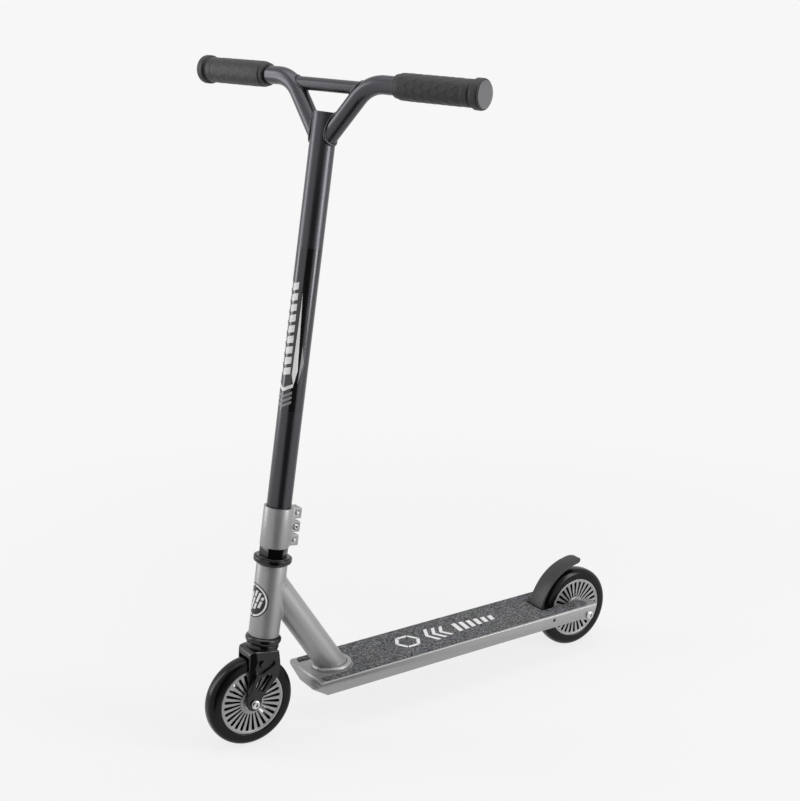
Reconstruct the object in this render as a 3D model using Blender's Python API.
"""Stunt scooter: Y handlebar, clamp, rigid fork, welded frame, spoked wheels and a fender brake.

The frame has +X to the rider's left, -Y ahead (the front wheel) and +Z up. The origin lies on the
floor, midway between the two axles and on the middle plane of the deck.
"""
import math

import bmesh
import bpy
from mathutils import Matrix, Vector

MM = 0.001
FIT_GAP = 0.3 * MM

# Chassis layout
WHEELBASE = 544 * MM
FRONT_AXLE_Y = -0.5 * WHEELBASE
REAR_AXLE_Y = 0.5 * WHEELBASE
STEERING_TILT = math.radians(9.0)
STEERING_RAKE = 11 * MM
BAR_TWIST = math.radians(18.5)

# Wheels
WHEEL_RADIUS = 60 * MM
TYRE_WIDTH = 24 * MM
CORE_RADIUS = 44 * MM
CORE_HALF_WIDTH = 11 * MM
HUB_HALF_WIDTH = 10.5 * MM
SLOT_COUNT = 28
SLOT_INNER_RADIUS = 16.5 * MM
SLOT_OUTER_RADIUS = 40.5 * MM
SLOT_SHARE = 0.48
BEARING_RADIUS = 11 * MM
BEARING_BORE = 4 * MM
BEARING_WIDTH = 7 * MM
AXLE_RADIUS = 3.7 * MM
AXLE_HEAD_RADIUS = 6.2 * MM

# Fork
FORK_SLOT_HALF = 13.5 * MM
FORK_LEG_THICKNESS = 5 * MM
FORK_BOSS_RADIUS = 10.4 * MM
FORK_TYRE_ROOM = 62.5 * MM
CROWN_HEIGHT = 131 * MM
STEERER_RADIUS = 14.1 * MM
STEERER_BORE = 11.6 * MM
STEERER_FOOT = 123 * MM
STEERER_TOP = 308 * MM

# Head tube, measured along the steering axis from the floor
HEAD_TUBE_LOW = 147.3 * MM
HEAD_TUBE_HIGH = 243 * MM
HEAD_TUBE_RADIUS = 20 * MM
HEAD_TUBE_BORE = 17.4 * MM

# Clamp
CLAMP_LOW = 266.5 * MM
CLAMP_HIGH = 318.5 * MM
CLAMP_RADIUS = 19 * MM
CLAMP_BOLT_BACK = 24 * MM
CLAMP_BOLT_STEP = 18 * MM
CLAMP_EAR_END = 30 * MM
CLAMP_EAR_HALF = 7.5 * MM
CLAMP_SPLIT_HALF = 1 * MM

# Handlebar
BAR_TUBE_RADIUS = 15.9 * MM
BAR_TUBE_BORE = 14.4 * MM
BAR_TUBE_TOP = 812 * MM
GRIP_HEIGHT = 850 * MM
ARM_RADIUS = 11.1 * MM
ARM_BORE = 9.1 * MM
ARM_RISE = math.radians(52)
ARM_KNEE_OUT = 61.2 * MM
ARM_BEND_RADIUS = 46 * MM
ARM_SWEEP = math.radians(3.2)
ARM_LENGTH_FROM_KNEE = 157.5 * MM
CROSSBAR_RADIUS = 7.95 * MM
CROSSBAR_DROP = 6.5 * MM
CROSSBAR_HALF = 53 * MM
GRIP_RADIUS = 15.8 * MM
GRIP_FLANGE_RADIUS = 18.2 * MM
GRIP_START = 41 * MM
GRIP_END = 159.6 * MM

# Frame
DOWNTUBE_RADIUS = 19 * MM
DOWNTUBE_BORE = 17 * MM
DOWNTUBE_JOINT = 220 * MM
DOWNTUBE_FOOT_Y = FRONT_AXLE_Y + 126 * MM

# Deck
DECK_TOP = 75.5 * MM
DECK_BOTTOM = 56 * MM
DECK_HALF_WIDTH = 43 * MM
DECK_NOSE_Y = FRONT_AXLE_Y + 85 * MM
DECK_NOSE_CHAMFER = 6 * MM
DECK_CELL_START = DECK_NOSE_Y + 15 * MM
DECK_TAIL_Y = REAR_AXLE_Y + 15.5 * MM
WHEEL_SLOT_Y = REAR_AXLE_Y - 72 * MM
WHEEL_SLOT_HALF = 20.3 * MM
TAPE_THICKNESS = 0.8 * MM
TAPE_HALF_WIDTH = 40.5 * MM
TAPE_THROAT = 29.5 * MM

# Brake
BRAKE_PIVOT_Y = REAR_AXLE_Y - 67 * MM
BRAKE_PIVOT_Z = 67.5 * MM
BRAKE_HALF_WIDTH = 14 * MM
BRAKE_ARC_CENTRE = (REAR_AXLE_Y + 7.3 * MM, 57 * MM)
BRAKE_ARC_RADIUS = 74.5 * MM
BRAKE_THICKNESS = 3 * MM
BRAKE_TAIL = 21 * MM
BRAKE_TAIL_CORNER = 8 * MM
PIN_RADIUS = 2.2 * MM
SPRING_WIRE = 0.5 * MM
SPRING_RADIUS = 3.5 * MM
SPRING_PITCH = 1.5 * MM
SPRING_TURNS = 3


def clear_scene():
    """Remove every object, so that the script gives the same model each time."""
    for item in list(bpy.data.objects):
        bpy.data.objects.remove(item, do_unlink=True)


def make_material(name, colour, roughness, metallic):
    """Return a Principled BSDF material; colour is linear red, green, blue."""
    material = bpy.data.materials.new(name)
    material.use_nodes = True
    shader = material.node_tree.nodes["Principled BSDF"]
    shader.inputs["Base Color"].default_value = (*colour, 1.0)
    shader.inputs["Roughness"].default_value = roughness
    shader.inputs["Metallic"].default_value = metallic
    return material


def make_finishes():
    """Return the finishes of the scooter by plain name."""
    return {
        "frame_paint": make_material("frame_paint", (0.33, 0.33, 0.34), 0.38, 0.6),
        "bar_paint": make_material("bar_paint", (0.07, 0.07, 0.08), 0.35, 0.3),
        "black_steel": make_material("black_steel", (0.02, 0.02, 0.02), 0.35, 0.5),
        "bright_steel": make_material("bright_steel", (0.6, 0.6, 0.6), 0.25, 1.0),
        "rubber": make_material("rubber", (0.035, 0.035, 0.037), 0.8, 0.0),
        "tyre": make_material("tyre", (0.012, 0.012, 0.013), 0.3, 0.0),
        "tape": make_material("tape", (0.12, 0.12, 0.13), 0.95, 0.0),
        "cap": make_material("cap", (0.18, 0.18, 0.19), 0.5, 0.0),
        "brake_paint": make_material("brake_paint", (0.05, 0.05, 0.055), 0.45, 0.4),
    }


def finish_mesh(bm, name):
    """Merge doubles, point the faces outwards and return the mesh."""
    bmesh.ops.remove_doubles(bm, verts=bm.verts, dist=0.002 * MM)
    bmesh.ops.recalc_face_normals(bm, faces=bm.faces)
    mesh = bpy.data.meshes.new(name)
    bm.to_mesh(mesh)
    bm.free()
    return mesh


def add_object(name, mesh, material=None, parent=None, smooth=35.0):
    """Link a mesh as a named object, shaded smooth up to an edge angle in degrees."""
    item = bpy.data.objects.new(name, mesh)
    bpy.context.scene.collection.objects.link(item)
    if material:
        mesh.materials.clear()
        mesh.materials.append(material)
    mesh.shade_smooth()
    mesh.set_sharp_from_angle(angle=math.radians(smooth))
    item.parent = parent
    return item


def add_empty(name, location, tilt=0.0, twist=0.0, parent=None):
    """Add an empty: tilt turns it about X and twist about its own Z."""
    item = bpy.data.objects.new(name, None)
    bpy.context.scene.collection.objects.link(item)
    item.parent = parent
    item.location = location
    item.rotation_euler = (tilt, 0.0, twist)
    return item


def lathe(name, profile, steps, axis="Z"):
    """Turn a profile of (radius, along) points about an axis and return the mesh.

    A profile that starts and ends on the axis is a solid; any other is closed into a ring.
    """
    bm = bmesh.new()
    points = [bm.verts.new((radius, 0.0, along)) for radius, along in profile]
    solid = profile[0][0] == 0.0 and profile[-1][0] == 0.0
    pairs = list(zip(points, points[1:])) if solid else list(zip(points, points[1:] + points[:1]))
    edges = [bm.edges.new(pair) for pair in pairs]
    bmesh.ops.spin(bm, geom=points + edges, cent=(0, 0, 0), axis=(0, 0, 1), angle=math.tau,
                   steps=steps, use_merge=True)
    if axis == "X":
        bmesh.ops.transform(bm, matrix=Matrix.Rotation(math.pi / 2, 4, "Y"), verts=bm.verts)
    return finish_mesh(bm, name)


def extrude_outline(name, outline, start, end, along="X"):
    """Extrude a flat outline and return the mesh.

    The outline's points are (y, z) when it is extruded along X, (x, z) along Y and (x, y) along Z.
    """
    bm = bmesh.new()
    place = {
        "X": lambda u, v: (start, u, v),
        "Y": lambda u, v: (u, start, v),
        "Z": lambda u, v: (u, v, start),
    }[along]
    step = {"X": (1, 0, 0), "Y": (0, 1, 0), "Z": (0, 0, 1)}[along]
    face = bm.faces.new([bm.verts.new(place(u, v)) for u, v in outline])
    moved = bmesh.ops.extrude_face_region(bm, geom=[face])["geom"]
    moved_verts = [item for item in moved if isinstance(item, bmesh.types.BMVert)]
    bmesh.ops.translate(bm, vec=Vector(step) * (end - start), verts=moved_verts)
    return finish_mesh(bm, name)


def arc(centre, radius, start, end, count):
    """Return count + 1 points on an arc between two angles in degrees."""
    points = []
    for index in range(count + 1):
        angle = math.radians(start + (end - start) * index / count)
        points.append((centre[0] + radius * math.cos(angle), centre[1] + radius * math.sin(angle)))
    return points


def circle_outline(centre, radius, count):
    """Return the points of a whole circle."""
    return arc(centre, radius, 0.0, 360.0, count)[:-1]


def pipe(name, points, radius, bevel_resolution):
    """Return the mesh of a round rod with flat ends along a list of points."""
    curve = bpy.data.curves.new(name, "CURVE")
    curve.dimensions = "3D"
    curve.bevel_depth = radius
    curve.bevel_resolution = bevel_resolution
    curve.use_fill_caps = True
    spline = curve.splines.new("POLY")
    spline.points.add(len(points) - 1)
    for spot, point in zip(spline.points, points):
        spot.co = (*point, 1.0)
    guide = bpy.data.objects.new(name, curve)
    bpy.context.scene.collection.objects.link(guide)
    graph = bpy.context.evaluated_depsgraph_get()
    mesh = bpy.data.meshes.new_from_object(guide.evaluated_get(graph))
    bpy.data.objects.remove(guide, do_unlink=True)
    bm = bmesh.new()
    bm.from_mesh(mesh)
    return finish_mesh(bm, name)


def moved(mesh, matrix):
    """Transform a mesh in place and return it."""
    mesh.transform(matrix)
    return mesh


def combine(name, base, tools, operation="DIFFERENCE"):
    """Cut or join tool meshes with a base mesh, one exact Boolean after the other."""
    target = add_object(name, base)
    for tool in tools:
        cutter = add_object(name + "_tool", tool)
        cutter.hide_render = True
        cutter.display_type = "WIRE"
        modifier = target.modifiers.new("boolean", "BOOLEAN")
        modifier.operation = operation
        modifier.object = cutter
        bpy.context.view_layer.update()
        graph = bpy.context.evaluated_depsgraph_get()
        result = bpy.data.meshes.new_from_object(target.evaluated_get(graph))
        target.modifiers.clear()
        target.data = result
        bpy.data.objects.remove(cutter, do_unlink=True)
    bm = bmesh.new()
    bm.from_mesh(target.data)
    bpy.data.objects.remove(target, do_unlink=True)
    bmesh.ops.dissolve_degenerate(bm, edges=bm.edges, dist=0.001 * MM)
    return finish_mesh(bm, name)


def drill(centre, radius, start, end, along="X", count=20):
    """Return a round cutter; centre is in the plane that the cutter crosses."""
    return extrude_outline("drill", circle_outline(centre, radius, count), start, end, along)


def hull(name, points):
    """Return the convex hull of some points, for cutters with slanted sides."""
    bm = bmesh.new()
    for point in points:
        bm.verts.new(point)
    bmesh.ops.convex_hull(bm, input=bm.verts)
    return finish_mesh(bm, name)


def ring_profile(inner, outer, low, high):
    """Return the profile of a plain turned ring."""
    return [(inner, low), (inner, high), (outer, high), (outer, low)]


# Steering axis

def steering_point(height, back=0.0):
    """Return the world point at a height along the steering axis, and back from it."""
    ground_y = steering_ground_y()
    up = Vector((0.0, math.sin(STEERING_TILT), math.cos(STEERING_TILT)))
    rear = Vector((0.0, math.cos(STEERING_TILT), -math.sin(STEERING_TILT)))
    return Vector((0.0, ground_y, 0.0)) + up * height + rear * back


def steering_ground_y():
    """Return where the steering axis meets the floor, from the axle's place and the rake."""
    offset = STEERING_RAKE - WHEEL_RADIUS * math.sin(STEERING_TILT)
    return FRONT_AXLE_Y + offset / math.cos(STEERING_TILT)


# Wheels

def wheel_core_mesh():
    """Return a wheel core: hub, rim and radial blades with open slots between them."""
    blade_hub = HUB_HALF_WIDTH - 0.8 * MM
    blade_rim = CORE_HALF_WIDTH - 0.6 * MM
    seat = BEARING_RADIUS + FIT_GAP
    shoulder = HUB_HALF_WIDTH - BEARING_WIDTH - 0.1 * MM
    web_bore = seat - 1.8 * MM
    hub_chain = [
        (SLOT_INNER_RADIUS, -blade_hub),
        (seat, -HUB_HALF_WIDTH),
        (seat, -shoulder),
        (web_bore, -shoulder),
        (web_bore, shoulder),
        (seat, shoulder),
        (seat, HUB_HALF_WIDTH),
        (SLOT_INNER_RADIUS, blade_hub),
    ]
    rim_chain = [
        (SLOT_OUTER_RADIUS, blade_rim),
        (CORE_RADIUS, CORE_HALF_WIDTH),
        (CORE_RADIUS, -CORE_HALF_WIDTH),
        (SLOT_OUTER_RADIUS, -blade_rim),
    ]
    pitch = math.tau / SLOT_COUNT
    bm = bmesh.new()
    stations = []
    for index in range(SLOT_COUNT):
        for offset in (-0.5 * SLOT_SHARE, 0.5 * SLOT_SHARE):
            angle = (index + offset) * pitch
            across, up = math.cos(angle), math.sin(angle)
            stations.append([
                [bm.verts.new((x, r * across, r * up)) for r, x in chain]
                for chain in (hub_chain, rim_chain)
            ])
    for index, (hub, rim) in enumerate(stations):
        next_hub, next_rim = stations[(index + 1) % len(stations)]
        for chain, next_chain in ((hub, next_hub), (rim, next_rim)):
            for low in range(len(chain) - 1):
                bm.faces.new((chain[low], chain[low + 1], next_chain[low + 1], next_chain[low]))
        bm.faces.new((hub[-1], rim[0], rim[-1], hub[0]))
        if index % 2 == 0:
            bm.faces.new((hub[-1], hub[0], next_hub[0], next_hub[-1]))
            bm.faces.new((rim[-1], rim[0], next_rim[0], next_rim[-1]))
        else:
            bm.faces.new((hub[-1], rim[0], next_rim[0], next_hub[-1]))
            bm.faces.new((rim[-1], hub[0], next_hub[0], next_rim[-1]))
    return finish_mesh(bm, "wheel_core")


def tyre_mesh():
    """Return the solid tyre, cast round the core."""
    inner = CORE_RADIUS + FIT_GAP
    half = 0.5 * TYRE_WIDTH
    side = [
        (inner, half - 0.6 * MM),
        (WHEEL_RADIUS - 7.5 * MM, half),
        (WHEEL_RADIUS - 3.4 * MM, half - 1.6 * MM),
        (WHEEL_RADIUS - 1.0 * MM, half - 4.4 * MM),
        (WHEEL_RADIUS - 0.25 * MM, half - 7.6 * MM),
    ]
    mirrored = [(radius, -along) for radius, along in reversed(side)]
    return lathe("tyre", side + [(WHEEL_RADIUS, 0.0)] + mirrored, 40, "X")


def bearing_mesh(side):
    """Return a ball bearing with a shield let into its outer face; side is +1 or -1."""
    half = 0.5 * BEARING_WIDTH
    profile = [
        (BEARING_BORE, -half),
        (BEARING_BORE, half),
        (5.8 * MM, half),
        (7.6 * MM, half - 0.4 * MM),
        (9.6 * MM, half),
        (BEARING_RADIUS, half),
        (BEARING_RADIUS, -half),
    ]
    mesh = lathe("bearing", [(radius, side * along) for radius, along in profile], 16, "X")
    middle = HUB_HALF_WIDTH - half
    return moved(mesh, Matrix.Translation((side * middle, 0, 0)))


def hex_outline(across_flats, turn=0.0):
    """Return the six corners of a hexagon."""
    return [
        (across_flats / math.sqrt(3) * math.cos(math.radians(60 * index + turn)),
         across_flats / math.sqrt(3) * math.sin(math.radians(60 * index + turn)))
        for index in range(6)
    ]


def bolt_mesh(name, head_face, tip, shank, head_radius, head_height, socket):
    """Return a round-headed socket bolt along X; the head's seat is at head_face."""
    out = 1.0 if head_face > tip else -1.0
    top = head_face + out * head_height
    profile = [
        (0.0, tip),
        (shank, tip),
        (shank, head_face),
        (head_radius, head_face),
        (head_radius, head_face + out * 0.45 * head_height),
        (0.72 * head_radius, top),
        (0.0, top),
    ]
    body = lathe(name, profile, 16, "X")
    recess = extrude_outline("socket", hex_outline(socket, 15), top - out * 0.55 * head_height,
                             top + out * MM)
    return combine(name, body, [recess])


def nut_mesh(name, inner_face, thickness, across_flats, bore):
    """Return a hexagon lock nut along X, standing outwards from its inner face."""
    out = 1.0 if inner_face > 0 else -1.0
    start, end = sorted((inner_face, inner_face + out * thickness))
    block = extrude_outline(name, hex_outline(across_flats), start, end)
    crown = lathe("crown", ring_profile(0.47 * across_flats, across_flats, start - MM, end + MM), 20, "X")
    crown = moved(crown, Matrix.Translation((out * 0.72 * thickness, 0, 0)))
    return combine(name, block, [drill((0, 0), bore, start - MM, end + MM), crown])


def build_wheel(prefix, parent, finish):
    """Build the tyre, core, two bearings and the spacer between them."""
    add_object(prefix + "_tyre", tyre_mesh(), finish["tyre"], parent)
    add_object(prefix + "_core", wheel_core_mesh(), finish["frame_paint"], parent)
    add_object(prefix + "_bearing_left", bearing_mesh(1), finish["bright_steel"], parent)
    add_object(prefix + "_bearing_right", bearing_mesh(-1), finish["bright_steel"], parent)
    half = HUB_HALF_WIDTH - BEARING_WIDTH - FIT_GAP
    sleeve = lathe("sleeve", ring_profile(BEARING_BORE, 6 * MM, -half, half), 12, "X")
    add_object(prefix + "_bearing_sleeve", sleeve, finish["bright_steel"], parent)


def build_axle(prefix, parent, seat, finish):
    """Build an axle bolt, its nut and the two spacers; seat is where the head rests."""
    tip = -(seat + 9.5 * MM)
    bolt = bolt_mesh("bolt", seat + FIT_GAP, tip, AXLE_RADIUS, AXLE_HEAD_RADIUS, 3.6 * MM, 5 * MM)
    add_object(prefix + "_axle_bolt", bolt, finish["bright_steel"], parent)
    nut = nut_mesh("nut", -(seat + FIT_GAP), 7 * MM, 13 * MM, BEARING_BORE)
    add_object(prefix + "_axle_nut", nut, finish["bright_steel"], parent)


def build_axle_spacers(prefix, parent, wall, finish):
    """Build the spacers that fill the room between the bearings and the two walls."""
    near = HUB_HALF_WIDTH + FIT_GAP
    far = wall - FIT_GAP
    for side, word in ((1, "left"), (-1, "right")):
        low, high = sorted((side * near, side * far))
        mesh = lathe("spacer", ring_profile(BEARING_BORE, 6.3 * MM, low, high), 12, "X")
        add_object(f"{prefix}_axle_spacer_{word}", mesh, finish["bright_steel"], parent)


# Fork, in the frame of the front axle: x across, y back, z up

def crown_line(y):
    """Return the height over the axle of the crown's top plane, square to the steering axis."""
    rise = CROWN_HEIGHT - (y + FRONT_AXLE_Y - steering_ground_y()) * math.sin(STEERING_TILT)
    return rise / math.cos(STEERING_TILT) - WHEEL_RADIUS


def millimetres(points):
    """Return points that are written in millimetres in metres."""
    return [(u * MM, v * MM) for u, v in points]


def fork_outline():
    """Return the side outline of the fork: leg, axle boss and crown."""
    boss = arc((-0.5 * MM, 0.8 * MM), FORK_BOSS_RADIUS, 172.0, 340.0, 9)
    rear = millimetres([(10.6, 4.9), (16.3, 12.2), (25.1, 20.4), (31.1, 27.2), (35.6, 31.9),
                        (37.3, 38.3), (38.3, 50)])
    top = [(37 * MM, crown_line(37 * MM)), (-4.4 * MM, crown_line(-4.4 * MM))]
    front = millimetres([(-5.4, 48), (-6.7, 31), (-8.1, 20.5), (-11, 10.9)])
    return boss + rear + top + front


def fork_corner_cuts(outer):
    """Return the cutters that slant the legs' front edges and round off the crown's shoulders."""
    start = FORK_SLOT_HALF + 0.4 * MM
    reach = outer + 2 * MM
    legs = []
    crown = []
    for side in (-1, 1):
        slant = []
        for height, front, slope in ((14, -10, 0.1), (25, -7.5, 0.5), (49, -5.3, 0.8), (76, -4.3, 1.06)):
            back = front * MM + slope * (reach - start)
            slant += [(side * start, front * MM, height * MM), (side * start, -30 * MM, height * MM),
                      (side * reach, -30 * MM, height * MM), (side * reach, back, height * MM)]
        legs.append(hull("slant", slant))
        edge = [(side * (outer - 2 * MM), 0.2 * MM), (side * (outer + 0.2 * MM), -2 * MM),
                (side * (outer + 3 * MM), -2 * MM), (side * (outer + 3 * MM), 5 * MM),
                (side * (outer - 2 * MM), 5 * MM)]
        crown.append(extrude_outline("edge", edge, -40 * MM, 40 * MM, "Y"))
    shoulder = [(22.5, 0.5), (28.5, -2.4), (31.7, -6), (32.8, -12), (45, -12), (45, 9), (22.5, 9)]
    crown.append(lathe("shoulder", millimetres(shoulder), 40))
    bore = STEERER_RADIUS + FIT_GAP
    crown.append(lathe("bore", [(0.0, -40 * MM), (bore, -40 * MM), (bore, 40 * MM), (0.0, 40 * MM)], 32))
    middle = steering_point(CROWN_HEIGHT) - Vector((0.0, FRONT_AXLE_Y, WHEEL_RADIUS))
    place = Matrix.Translation(middle) @ Matrix.Rotation(-STEERING_TILT, 4, "X")
    return legs + [moved(mesh, place) for mesh in crown]


def fork_mesh():
    """Return the fork: two legs with a pocket and a slanted window under one bored crown."""
    outer = FORK_SLOT_HALF + FORK_LEG_THICKNESS
    body = extrude_outline("fork", fork_outline(), -outer, outer)
    cuts = [drill((0.0, 0.0), FORK_TYRE_ROOM, -FORK_SLOT_HALF, FORK_SLOT_HALF, count=72)]
    cuts += fork_corner_cuts(outer)
    pocket = millimetres([(10.3, 59.3), (31.1, 53.4), (30.6, 48.2), (24, 44.4), (13.3, 39.6), (5.2, 39.4),
                          (3.4, 42.4), (3.1, 48.3), (6.4, 57.2)])
    window = millimetres([(2.2, 23.3), (3.9, 27.9), (7.6, 32), (14, 34.7), (21.4, 36.7), (25.4, 36.2),
                          (26.4, 33), (21.6, 26.6), (16.4, 20), (12.4, 14.8), (9.2, 14.4), (4.3, 18.2)])
    for side in (-1, 1):
        start, end = sorted((side * (outer - 2.2 * MM), side * (outer + 2 * MM)))
        boss = drill((14.6 * MM, 51 * MM), 4.8 * MM, start - MM, end + MM, count=14)
        cuts.append(combine("pocket", extrude_outline("pocket", pocket, start, end), [boss]))
    cuts.append(extrude_outline("window", window, -outer - MM, outer + MM))
    cuts.append(drill((0.0, 0.0), BEARING_BORE, -outer - MM, outer + MM))
    return combine("fork", body, cuts)


# Headset, head tube and clamp, along the steering axis

def build_head(parent, finish):
    """Build the fixed pieces round the steering axis: head tube, cups and bearings."""
    tube = lathe("tube", ring_profile(HEAD_TUBE_BORE, HEAD_TUBE_RADIUS, HEAD_TUBE_LOW, HEAD_TUBE_HIGH), 28)
    add_object("head_tube", tube, finish["frame_paint"], parent)
    insert = HEAD_TUBE_BORE - FIT_GAP
    bore = 15 * MM
    upper = [
        (bore, HEAD_TUBE_HIGH - 11 * MM),
        (insert, HEAD_TUBE_HIGH - 11 * MM),
        (insert, HEAD_TUBE_HIGH + FIT_GAP),
        (20.4 * MM, HEAD_TUBE_HIGH + FIT_GAP),
        (25 * MM, 246.8 * MM),
        (25 * MM, 252.6 * MM),
        (22.4 * MM, 252.6 * MM),
        (22.4 * MM, 246.5 * MM),
        (bore, 246.5 * MM),
    ]
    add_object("headset_upper_cup", lathe("cup", upper, 24), finish["black_steel"], parent)
    lower = [
        (bore, HEAD_TUBE_LOW + 11 * MM),
        (insert, HEAD_TUBE_LOW + 11 * MM),
        (insert, HEAD_TUBE_LOW - FIT_GAP),
        (20.6 * MM, HEAD_TUBE_LOW - FIT_GAP),
        (23.5 * MM, 144.5 * MM),
        (23.5 * MM, 140.5 * MM),
        (21.8 * MM, 138.2 * MM),
        (20.6 * MM, 138.2 * MM),
        (20.6 * MM, 144.6 * MM),
        (bore, 144.6 * MM),
    ]
    add_object("headset_lower_cup", lathe("cup", lower, 24), finish["black_steel"], parent)
    upper_ring = lathe("ring", ring_profile(15.6 * MM, 22.1 * MM, 246.8 * MM, 250.3 * MM), 20)
    add_object("headset_upper_bearing", upper_ring, finish["bright_steel"], parent)
    lower_ring = lathe("ring", ring_profile(15.6 * MM, 20.1 * MM, 141.3 * MM, 144.3 * MM), 20)
    add_object("headset_lower_bearing", lower_ring, finish["bright_steel"], parent)


def build_steerer(parent, finish):
    """Build the steerer and the headset pieces that turn with it."""
    steerer = lathe("steerer", ring_profile(STEERER_BORE, STEERER_RADIUS, STEERER_FOOT, STEERER_TOP), 24)
    add_object("steerer_tube", steerer, finish["black_steel"], parent)
    bore = STEERER_RADIUS + FIT_GAP
    crown_race = [
        (bore, CROWN_HEIGHT + FIT_GAP),
        (bore, 141 * MM),
        (19.8 * MM, 141 * MM),
        (19.8 * MM, 137.6 * MM),
        (21.2 * MM, 137 * MM),
        (21.2 * MM, CROWN_HEIGHT + FIT_GAP),
    ]
    add_object("headset_crown_race", lathe("race", crown_race, 24), finish["black_steel"], parent)
    top_race = [
        (bore, 250.6 * MM),
        (bore, 253.5 * MM),
        (21.5 * MM, 253.5 * MM),
        (22.1 * MM, 252.9 * MM),
        (22.1 * MM, 250.6 * MM),
    ]
    add_object("headset_top_race", lathe("race", top_race, 24), finish["black_steel"], parent)
    nut = extrude_outline("nut", hex_outline(32 * MM, 10), 253.8 * MM, 266.2 * MM, "Z")
    nut = combine("nut", nut, [drill((0, 0), bore, 250 * MM, 270 * MM, "Z", 28)])
    add_object("headset_locknut", nut, finish["black_steel"], parent)


def clamp_bolt_heights():
    """Return the three bolt heights from the bottom up."""
    middle = 0.5 * (CLAMP_LOW + CLAMP_HIGH)
    return [middle + index * CLAMP_BOLT_STEP for index in (-1, 0, 1)]


def clamp_mesh():
    """Return the split clamp: a turned sleeve with a pair of three-lobed ears behind it."""
    bore = BAR_TUBE_RADIUS + FIT_GAP
    sleeve = [
        (0.0, CLAMP_LOW),
        (CLAMP_RADIUS, CLAMP_LOW),
        (CLAMP_RADIUS, CLAMP_HIGH - MM),
        (CLAMP_RADIUS - MM, CLAMP_HIGH),
        (0.0, CLAMP_HIGH),
    ]
    body = lathe("clamp", sleeve, 32)
    lobe_half = 7 * MM
    notch = CLAMP_EAR_END - 8 * MM
    outline = [(6 * MM, CLAMP_LOW + 0.6 * MM), (notch - 4 * MM, CLAMP_LOW + 0.6 * MM)]
    for height in clamp_bolt_heights():
        outline += [
            (notch, height - lobe_half),
            (CLAMP_EAR_END - 1.5 * MM, height - lobe_half),
            (CLAMP_EAR_END, height - lobe_half + 1.5 * MM),
            (CLAMP_EAR_END, height + lobe_half - 1.5 * MM),
            (CLAMP_EAR_END - 1.5 * MM, height + lobe_half),
            (notch, height + lobe_half),
        ]
    outline += [(notch - 4 * MM, CLAMP_HIGH - 0.6 * MM), (6 * MM, CLAMP_HIGH - 0.6 * MM)]
    ears = extrude_outline("ears", outline, -CLAMP_EAR_HALF, CLAMP_EAR_HALF)
    body = combine("clamp", body, [ears], "UNION")
    split = extrude_outline("split", [(4 * MM, CLAMP_LOW - MM), (40 * MM, CLAMP_LOW - MM),
                                      (40 * MM, CLAMP_HIGH + MM), (4 * MM, CLAMP_HIGH + MM)],
                            -CLAMP_SPLIT_HALF, CLAMP_SPLIT_HALF)
    cuts = [drill((0, 0), bore, CLAMP_LOW - MM, CLAMP_HIGH + MM, "Z", 32), split]
    for height in clamp_bolt_heights():
        cuts.append(drill((CLAMP_BOLT_BACK, height), 2.9 * MM, -20 * MM, 20 * MM, count=10))
    for height, side in zip(clamp_bolt_heights(), (-1, 1, -1)):
        start, end = sorted((side * (CLAMP_EAR_HALF - 3 * MM), side * 20 * MM))
        cuts.append(drill((CLAMP_BOLT_BACK, height), 4.6 * MM, start, end, count=12))
    return combine("clamp", body, cuts)


def build_clamp(parent, finish):
    """Build the clamp and its three bolts, whose heads face alternate sides."""
    add_object("bar_clamp", clamp_mesh(), finish["frame_paint"], parent)
    words = ("bottom", "middle", "top")
    for height, side, word in zip(clamp_bolt_heights(), (-1, 1, -1), words):
        seat = side * (CLAMP_EAR_HALF - 3 * MM + FIT_GAP)
        tip = -side * (CLAMP_EAR_HALF + 1.5 * MM)
        mesh = bolt_mesh("bolt", seat, tip, 2.5 * MM, 4.2 * MM, 4.6 * MM, 4 * MM)
        mesh = moved(mesh, Matrix.Translation((0, CLAMP_BOLT_BACK, height)))
        add_object("clamp_bolt_" + word, mesh, finish["bright_steel"], parent)


# Handlebar, in the turned frame of the bars: x to the left grip, z up the steering axis

def arm_frame(side):
    """Return the knee point and the directions below and beyond it."""
    knee = Vector((side * ARM_KNEE_OUT, 0.0, GRIP_HEIGHT))
    rising = Vector((side * math.cos(ARM_RISE), 0.0, math.sin(ARM_RISE)))
    level = Vector((side * math.cos(ARM_SWEEP), math.sin(ARM_SWEEP), 0.0))
    return knee, rising, level


def arm_path(side, spare=0.0):
    """Return the centre line of one arm: up from the tube, round the knee and out to the grip."""
    knee, rising, level = arm_frame(side)
    bend = rising.angle(level)
    setback = ARM_BEND_RADIUS * math.tan(0.5 * bend)
    start = knee - rising * (ARM_KNEE_OUT / math.cos(ARM_RISE) + spare)
    first = knee - rising * setback
    normal = (level - rising * level.dot(rising)).normalized()
    centre = first + normal * ARM_BEND_RADIUS
    points = [start]
    bend_steps = 7
    for index in range(bend_steps + 1):
        angle = bend * index / bend_steps
        points.append(centre + (rising * math.sin(angle) - normal * math.cos(angle)) * ARM_BEND_RADIUS)
    points.append(knee + level * (ARM_LENGTH_FROM_KNEE + spare))
    return points


def along_grip(mesh, side):
    """Move a mesh that was turned about Z onto one arm's level part, with the knee as its zero."""
    knee, _, level = arm_frame(side)
    turn = Vector((0, 0, 1)).rotation_difference(level).to_matrix().to_4x4()
    return moved(mesh, Matrix.Translation(knee) @ turn)


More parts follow.
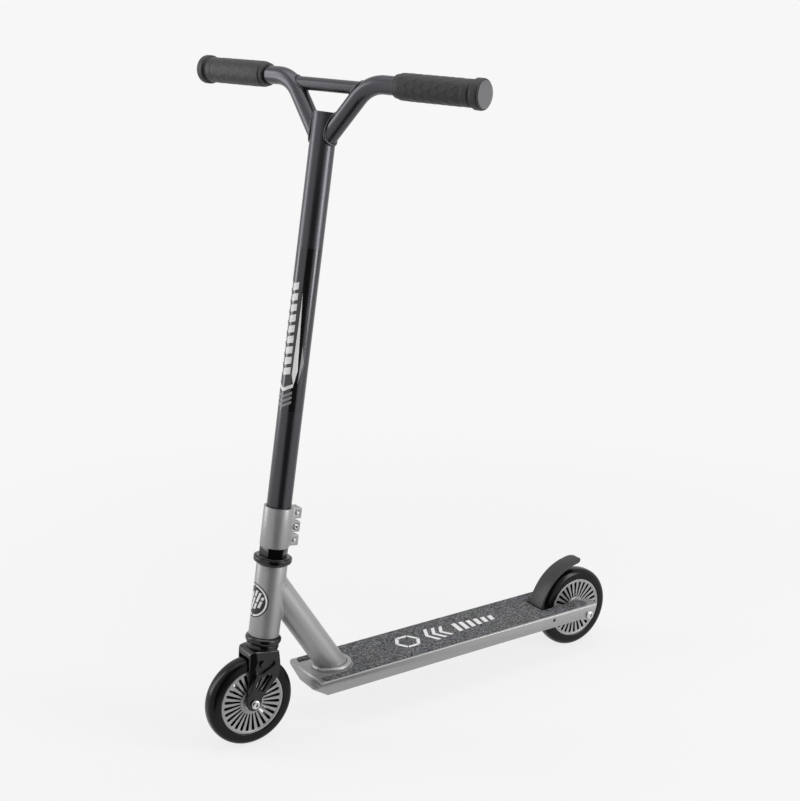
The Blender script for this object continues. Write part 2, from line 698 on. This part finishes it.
def grip_profile():
    """Return the grip's turned profile: sleeve, thumb band, groove and end flange."""
    bore = ARM_RADIUS + FIT_GAP
    return [
        (bore, GRIP_START),
        (14 * MM, GRIP_START),
        (GRIP_RADIUS, GRIP_START + 3.5 * MM),
        (GRIP_RADIUS, 137 * MM),
        (16.4 * MM, 137.6 * MM),
        (16.4 * MM, 145.4 * MM),
        (15.2 * MM, 146.2 * MM),
        (15.2 * MM, 148.6 * MM),
        (GRIP_FLANGE_RADIUS, 149.8 * MM),
        (GRIP_FLANGE_RADIUS, 157 * MM),
        (16.8 * MM, GRIP_END),
        (bore, GRIP_END),
    ]


def end_cap_profile():
    """Return the bar end plug: a stem in the tube under a wide disc."""
    return [
        (0.0, 144 * MM),
        (ARM_BORE - FIT_GAP - 0.4 * MM, 144 * MM),
        (ARM_BORE - FIT_GAP, GRIP_END + FIT_GAP),
        (15.4 * MM, GRIP_END + FIT_GAP),
        (14.8 * MM, GRIP_END + 1.9 * MM),
        (0.0, GRIP_END + 1.9 * MM),
    ]


def build_bars(parent, finish):
    """Build the handlebar: post, two bent arms, crossbar, grips and end caps."""
    post = lathe("post", ring_profile(BAR_TUBE_BORE, BAR_TUBE_RADIUS, CLAMP_LOW + MM, BAR_TUBE_TOP), 32)
    add_object("bar_tube", post, finish["bar_paint"], parent)
    crossbar_z = GRIP_HEIGHT - CROSSBAR_DROP
    crossbar = pipe("crossbar", [(-CROSSBAR_HALF, 0, crossbar_z), (CROSSBAR_HALF, 0, crossbar_z)],
                    CROSSBAR_RADIUS, 8)
    for side, word in ((1, "left"), (-1, "right")):
        saddle = drill((0, 0), BAR_TUBE_RADIUS + FIT_GAP, 700 * MM, 830 * MM, "Z", 32)
        arm = pipe("arm", arm_path(side), ARM_RADIUS, 7)
        inside = pipe("inside", arm_path(side, 8 * MM), ARM_BORE, 4)
        arm = combine("arm", arm, [inside, saddle])
        add_object("bar_arm_" + word, arm, finish["bar_paint"], parent)
        crossbar = combine("crossbar", crossbar, [pipe("room", arm_path(side), ARM_RADIUS + FIT_GAP, 7)])
        grip = along_grip(lathe("grip", grip_profile(), 20), side)
        add_object("grip_" + word, grip, finish["rubber"], parent)
        cap = along_grip(lathe("cap", end_cap_profile(), 18), side)
        add_object("grip_end_cap_" + word, cap, finish["cap"], parent)
    add_object("bar_crossbar", crossbar, finish["bar_paint"], parent)


# Frame

def downtube_line():
    """Return the downtube's top point on the steering axis and its unit direction down."""
    top = steering_point(DOWNTUBE_JOINT)
    foot = Vector((0.0, DOWNTUBE_FOOT_Y, DECK_TOP))
    return top, (foot - top).normalized()


def build_downtube(finish):
    """Build the downtube, cut to sit on the head tube and on the deck."""
    top, down = downtube_line()
    length = (DECK_TOP - top.z) / down.z
    turn = Vector((0, 0, 1)).rotation_difference(down).to_matrix().to_4x4()
    place = Matrix.Translation(top) @ turn
    tube = lathe("tube", ring_profile(DOWNTUBE_BORE, DOWNTUBE_RADIUS, 0.0, length + 40 * MM), 32)
    head = lathe("head", [(0.0, 100 * MM), (HEAD_TUBE_RADIUS + FIT_GAP, 100 * MM),
                          (HEAD_TUBE_RADIUS + FIT_GAP, 300 * MM), (0.0, 300 * MM)], 40)
    ground = Vector((0.0, steering_ground_y(), 0.0))
    head = moved(head, Matrix.Translation(ground) @ Matrix.Rotation(-STEERING_TILT, 4, "X"))
    floor_cut = extrude_outline("floor", [(-0.1, FRONT_AXLE_Y), (0.1, FRONT_AXLE_Y), (0.1, 0.1), (-0.1, 0.1)],
                                0.0, DECK_TOP + FIT_GAP, "Z")
    mesh = combine("downtube", moved(tube, place), [head, floor_cut])
    bm = bmesh.new()
    bm.from_mesh(mesh)
    mesh = finish_mesh(keep_largest(bm), "downtube")
    add_object("downtube", mesh, finish["frame_paint"])


def keep_largest(bm):
    """Drop all but the largest connected piece, such as offcuts beyond a cutter."""
    left = set(bm.verts)
    pieces = []
    while left:
        stack = [left.pop()]
        piece = list(stack)
        while stack:
            for edge in stack.pop().link_edges:
                for vert in edge.verts:
                    if vert in left:
                        left.remove(vert)
                        stack.append(vert)
                        piece.append(vert)
        pieces.append(piece)
    pieces.sort(key=len)
    for piece in pieces[:-1]:
        bmesh.ops.delete(bm, geom=piece, context="VERTS")
    return bm


def bead_mesh(name, section_at, count):
    """Return a closed bead; section_at gives its cross-section at an angle round the tube."""
    bm = bmesh.new()
    rings = [[bm.verts.new(point) for point in section_at(math.tau * index / count)]
             for index in range(count)]
    for index, ring in enumerate(rings):
        following = rings[(index + 1) % count]
        for low in range(len(ring)):
            high = (low + 1) % len(ring)
            bm.faces.new((ring[low], ring[high], following[high], following[low]))
    return finish_mesh(bm, name)


def build_welds(finish):
    """Build the weld beads at the foot and the head of the downtube."""
    top, down = downtube_line()
    side = Vector((1.0, 0.0, 0.0))
    normal = down.cross(side)
    up = Vector((0.0, math.sin(STEERING_TILT), math.cos(STEERING_TILT)))

    def on_tube(angle, extra, share=1.0):
        across = (DOWNTUBE_RADIUS + extra) * math.cos(angle)
        along = (DOWNTUBE_RADIUS + extra * share) * math.sin(angle)
        return top + side * across + normal * along

    def foot_section(angle):
        points = []
        for extra, share, height in ((0.3, 1, 0.3), (0.3, 1, 6.2), (3.4, 0.8, 5.2), (5.4, 0.65, 3.2),
                                     (6.6, 0.6, 0.3)):
            start = on_tube(angle, extra * MM, share)
            points.append(start + down * ((DECK_TOP + height * MM - start.z) / down.z))
        return points

    def head_section(angle):
        points = []
        for extra, reach in ((0.3, 0.7), (0.8, 0.7), (1.6, 2.0), (0.3, 5.0)):
            start = on_tube(angle, extra * MM) - top
            flat_start = start - up * start.dot(up)
            flat_down = down - up * down.dot(up)
            radius = HEAD_TUBE_RADIUS + reach * MM
            a = flat_down.dot(flat_down)
            b = 2 * flat_start.dot(flat_down)
            c = flat_start.dot(flat_start) - radius * radius
            travel = (-b + math.sqrt(b * b - 4 * a * c)) / (2 * a)
            points.append(top + start + down * travel)
        return points

    add_object("downtube_foot_weld", bead_mesh("weld", foot_section, 28), finish["frame_paint"])
    add_object("downtube_head_weld", bead_mesh("weld", head_section, 28), finish["frame_paint"])


# Deck

def deck_section():
    """Return the outer cross-section of the deck with rounded edges."""
    round_top = 3 * MM
    round_foot = 1.5 * MM
    half = DECK_HALF_WIDTH
    right = arc((half - round_foot, DECK_BOTTOM + round_foot), round_foot, -90, 0, 2)
    right += arc((half - round_top, DECK_TOP - round_top), round_top, 0, 90, 4)
    left = [(-x, z) for x, z in reversed(right)]
    return right + left


def box_outline(low_x, low_y, high_x, high_y):
    """Return the outline of a rectangle."""
    return [(low_x, low_y), (high_x, low_y), (high_x, high_y), (low_x, high_y)]


def tail_outline():
    """Return what is cut from the arms behind and under the rear axle, in the (y, z) plane."""
    nose = arc((REAR_AXLE_Y, WHEEL_RADIUS), 8.4 * MM, -56, -5, 3)
    return nose + [
        (DECK_TAIL_Y - 2 * MM, DECK_TOP - 4 * MM),
        (DECK_TAIL_Y, DECK_TOP + MM),
        (DECK_TAIL_Y + 60 * MM, DECK_TOP + MM),
        (DECK_TAIL_Y + 60 * MM, 40 * MM),
        (nose[0][0], 40 * MM),
    ]


def boss_outline():
    """Return the thickening under the arms round the rear axle, in the (y, z) plane."""
    foot = arc((REAR_AXLE_Y, WHEEL_RADIUS), 8.4 * MM, 236, 304, 3)
    return [
        (REAR_AXLE_Y - 20 * MM, DECK_BOTTOM + 2 * MM),
        (REAR_AXLE_Y - 18 * MM, DECK_BOTTOM),
    ] + foot + [(REAR_AXLE_Y + 9 * MM, DECK_BOTTOM + 2 * MM)]


def nose_cuts():
    """Return the cutters of the nose: the edge over the chin and the chin's two slanted corners."""
    front = DECK_NOSE_Y
    crest = DECK_TOP - DECK_NOSE_CHAMFER
    outline = [
        (front - 9 * MM, DECK_TOP + 2 * MM),
        (front + DECK_NOSE_CHAMFER + 2 * MM, DECK_TOP + 2 * MM),
        (front, crest),
        (front + MM, DECK_BOTTOM - MM),
        (front - 9 * MM, DECK_BOTTOM - MM),
    ]
    cuts = [extrude_outline("nose", outline, -0.06, 0.06)]
    for side in (-1, 1):
        corner = [
            Vector((side * DECK_HALF_WIDTH, front, crest)),
            Vector((side * DECK_HALF_WIDTH, front + 10 * MM, DECK_BOTTOM)),
            Vector((side * 17.7 * MM, front + MM, DECK_BOTTOM)),
        ]
        middle = sum(corner, Vector()) / 3
        out = (corner[1] - corner[0]).cross(corner[2] - corner[0]).normalized() * 30 * MM
        if out.y > 0:
            out = -out
        wide = [middle + (point - middle) * 4 for point in corner]
        cuts.append(hull("chin", wide + [point + out for point in wide]))
    return cuts


def deck_mesh():
    """Return the box deck: four long cells, a chinned nose and two arms round the wheel."""
    bar = extrude_outline("deck", deck_section(), DECK_NOSE_Y, DECK_TAIL_Y + 30 * MM, "Y")
    boss_half = DECK_HALF_WIDTH - 0.01 * MM
    bar = combine("deck", bar, [extrude_outline("boss", boss_outline(), -boss_half, boss_half)], "UNION")
    cell_low = DECK_BOTTOM + 2.7 * MM
    cell_high = DECK_TOP - 3.5 * MM
    cuts = []
    for low, high in ((1.5, 18.5), (23.3, 39.8)):
        for side in (-1, 1):
            outline = box_outline(side * low * MM, cell_low, side * high * MM, cell_high)
            cuts.append(extrude_outline("cell", outline, DECK_CELL_START, DECK_TAIL_Y + 40 * MM, "Y"))
    cuts.append(extrude_outline("slot", box_outline(-WHEEL_SLOT_HALF, WHEEL_SLOT_Y, WHEEL_SLOT_HALF, 0.4),
                                40 * MM, DECK_TOP + MM, "Z"))
    cuts += nose_cuts()
    cuts.append(extrude_outline("tail", tail_outline(), -0.06, 0.06))
    cuts.append(drill((REAR_AXLE_Y, WHEEL_RADIUS), BEARING_BORE, -0.06, 0.06))
    cuts.append(drill((BRAKE_PIVOT_Y, BRAKE_PIVOT_Z), PIN_RADIUS + FIT_GAP, -0.06, 0.06, count=14))
    return combine("deck", bar, cuts)


def tape_mesh():
    """Return the grip tape: round the downtube at the nose and along both arms at the tail."""
    half = TAPE_HALF_WIDTH
    start = DECK_NOSE_Y + DECK_NOSE_CHAMFER + MM
    end = DECK_TAIL_Y - 14.5 * MM
    slot = WHEEL_SLOT_HALF + 1.5 * MM
    outline = [(TAPE_THROAT, start), (half - 4 * MM, start), (half, start + 4 * MM), (half, end - 8 * MM)]
    outline += arc((half - 8 * MM, end - 8 * MM), 8 * MM, 0, 90, 4)[1:]
    outline += [(slot + 2 * MM, end), (slot, end - 3 * MM), (slot, WHEEL_SLOT_Y - 2 * MM)]
    outline += [(-x, y) for x, y in reversed(outline)]
    throat = arc((0.0, DOWNTUBE_FOOT_Y - MM), TAPE_THROAT, 180, 0, 14)
    outline += throat
    low = DECK_TOP + FIT_GAP
    return extrude_outline("tape", outline, low, low + TAPE_THICKNESS, "Z")


# Brake

def fender_outline():
    """Return the fender's side outline: pivot eye, curved plate and flicked tail."""
    start_angle = 160.0
    end_angle = 104.0
    inner = arc(BRAKE_ARC_CENTRE, BRAKE_ARC_RADIUS, start_angle, end_angle, 12)
    outer = arc(BRAKE_ARC_CENTRE, BRAKE_ARC_RADIUS + BRAKE_THICKNESS, end_angle, start_angle, 12)
    slope = math.radians(end_angle - 90.0)
    flick = Vector((math.cos(slope), math.sin(slope))) * BRAKE_TAIL
    tail_inner = (inner[-1][0] + flick.x, inner[-1][1] + flick.y + 0.8 * MM)
    tail_outer = (outer[0][0] + flick.x, outer[0][1] + flick.y)
    eye = arc((BRAKE_PIVOT_Y, BRAKE_PIVOT_Z), 4.6 * MM, 175, 365, 10)
    return inner + [tail_inner, tail_outer] + outer + eye


def fender_mesh():
    """Return the brake fender with its eye bored for the pin."""
    plate = extrude_outline("fender", fender_outline(), -BRAKE_HALF_WIDTH, BRAKE_HALF_WIDTH)
    cuts = [drill((BRAKE_PIVOT_Y, BRAKE_PIVOT_Z), PIN_RADIUS + FIT_GAP, -0.03, 0.03, count=16)]
    end = max(y for y, _ in fender_outline())
    corner = BRAKE_TAIL_CORNER
    for side in (-1, 1):
        middle = (side * (BRAKE_HALF_WIDTH - corner), end - corner)
        turn = 0 if side > 0 else 180
        outline = arc(middle, corner, turn, 90, 5)
        outline += [(middle[0], end + 3 * MM), (side * (BRAKE_HALF_WIDTH + 3 * MM), end + 3 * MM),
                    (side * (BRAKE_HALF_WIDTH + 3 * MM), middle[1])]
        cuts.append(extrude_outline("corner", outline, DECK_TOP, DECK_TOP + 90 * MM, "Z"))
    mesh = combine("fender", plate, cuts)
    return moved(mesh, Matrix.Translation((0, -BRAKE_PIVOT_Y, -BRAKE_PIVOT_Z)))


def spring_mesh():
    """Return the brake's torsion spring: three turns round the pin and two legs."""
    steps = 10 * SPRING_TURNS
    points = []
    for index in range(steps + 1):
        turn = index / 10
        angle = math.tau * turn
        points.append(Vector((BRAKE_HALF_WIDTH + 0.9 * MM + SPRING_PITCH * turn,
                              -SPRING_RADIUS * math.sin(angle),
                              SPRING_RADIUS * math.cos(angle))))
    gap = min((points[low] - points[high]).length for low in range(steps) for high in range(low + 7, steps))
    print(f"brake_spring: least gap between turns {(gap - 2 * SPRING_WIRE) / MM:.2f} mm")
    first_leg = points[0] + Vector((0.0, 7.5 * MM, 0.6 * MM))
    last_leg = points[-1] + Vector((0.0, -4.2 * MM, 0.0))
    return pipe("spring", [first_leg] + points + [last_leg], SPRING_WIRE, 1)


def build_brake(fender_parent, pin_parent, finish):
    """Build the fender, its pin and the spring that lifts it."""
    add_object("brake_fender", fender_mesh(), finish["brake_paint"], fender_parent)
    reach = DECK_HALF_WIDTH - 0.4 * MM
    pin = lathe("pin", [(0.0, -reach), (PIN_RADIUS, -reach), (PIN_RADIUS, reach), (0.0, reach)], 14, "X")
    add_object("brake_pivot_pin", pin, finish["black_steel"], pin_parent)
    add_object("brake_spring", spring_mesh(), finish["bright_steel"], pin_parent)


def build_scooter():
    """Build the whole scooter."""
    clear_scene()
    finish = make_finishes()
    ground = (0.0, steering_ground_y(), 0.0)
    head_axis = add_empty("head_axis", ground, -STEERING_TILT)
    steering = add_empty("steering_axis", ground, -STEERING_TILT)
    bars = add_empty("bar_axis", (0, 0, 0), 0.0, BAR_TWIST, steering)
    axle_local = Matrix.Rotation(STEERING_TILT, 4, "X") @ (
        Vector((0.0, FRONT_AXLE_Y, WHEEL_RADIUS)) - Vector(ground))
    front_axle = add_empty("front_axle", axle_local, STEERING_TILT, 0.0, steering)
    rear_axle = add_empty("rear_axle", (0.0, REAR_AXLE_Y, WHEEL_RADIUS))
    pivot = add_empty("brake_pivot", (0.0, BRAKE_PIVOT_Y, BRAKE_PIVOT_Z))

    build_wheel("front_wheel", front_axle, finish)
    build_axle("front", front_axle, FORK_SLOT_HALF + FORK_LEG_THICKNESS, finish)
    build_axle_spacers("front", front_axle, FORK_SLOT_HALF, finish)
    add_object("fork", fork_mesh(), finish["black_steel"], front_axle)
    build_head(head_axis, finish)
    build_steerer(steering, finish)
    build_clamp(steering, finish)
    build_bars(bars, finish)
    build_downtube(finish)
    build_welds(finish)
    add_object("deck", deck_mesh(), finish["frame_paint"])
    add_object("grip_tape", tape_mesh(), finish["tape"])
    build_wheel("rear_wheel", rear_axle, finish)
    build_axle("rear", rear_axle, DECK_HALF_WIDTH, finish)
    build_axle_spacers("rear", rear_axle, WHEEL_SLOT_HALF, finish)
    build_brake(pivot, pivot, finish)


build_scooter()
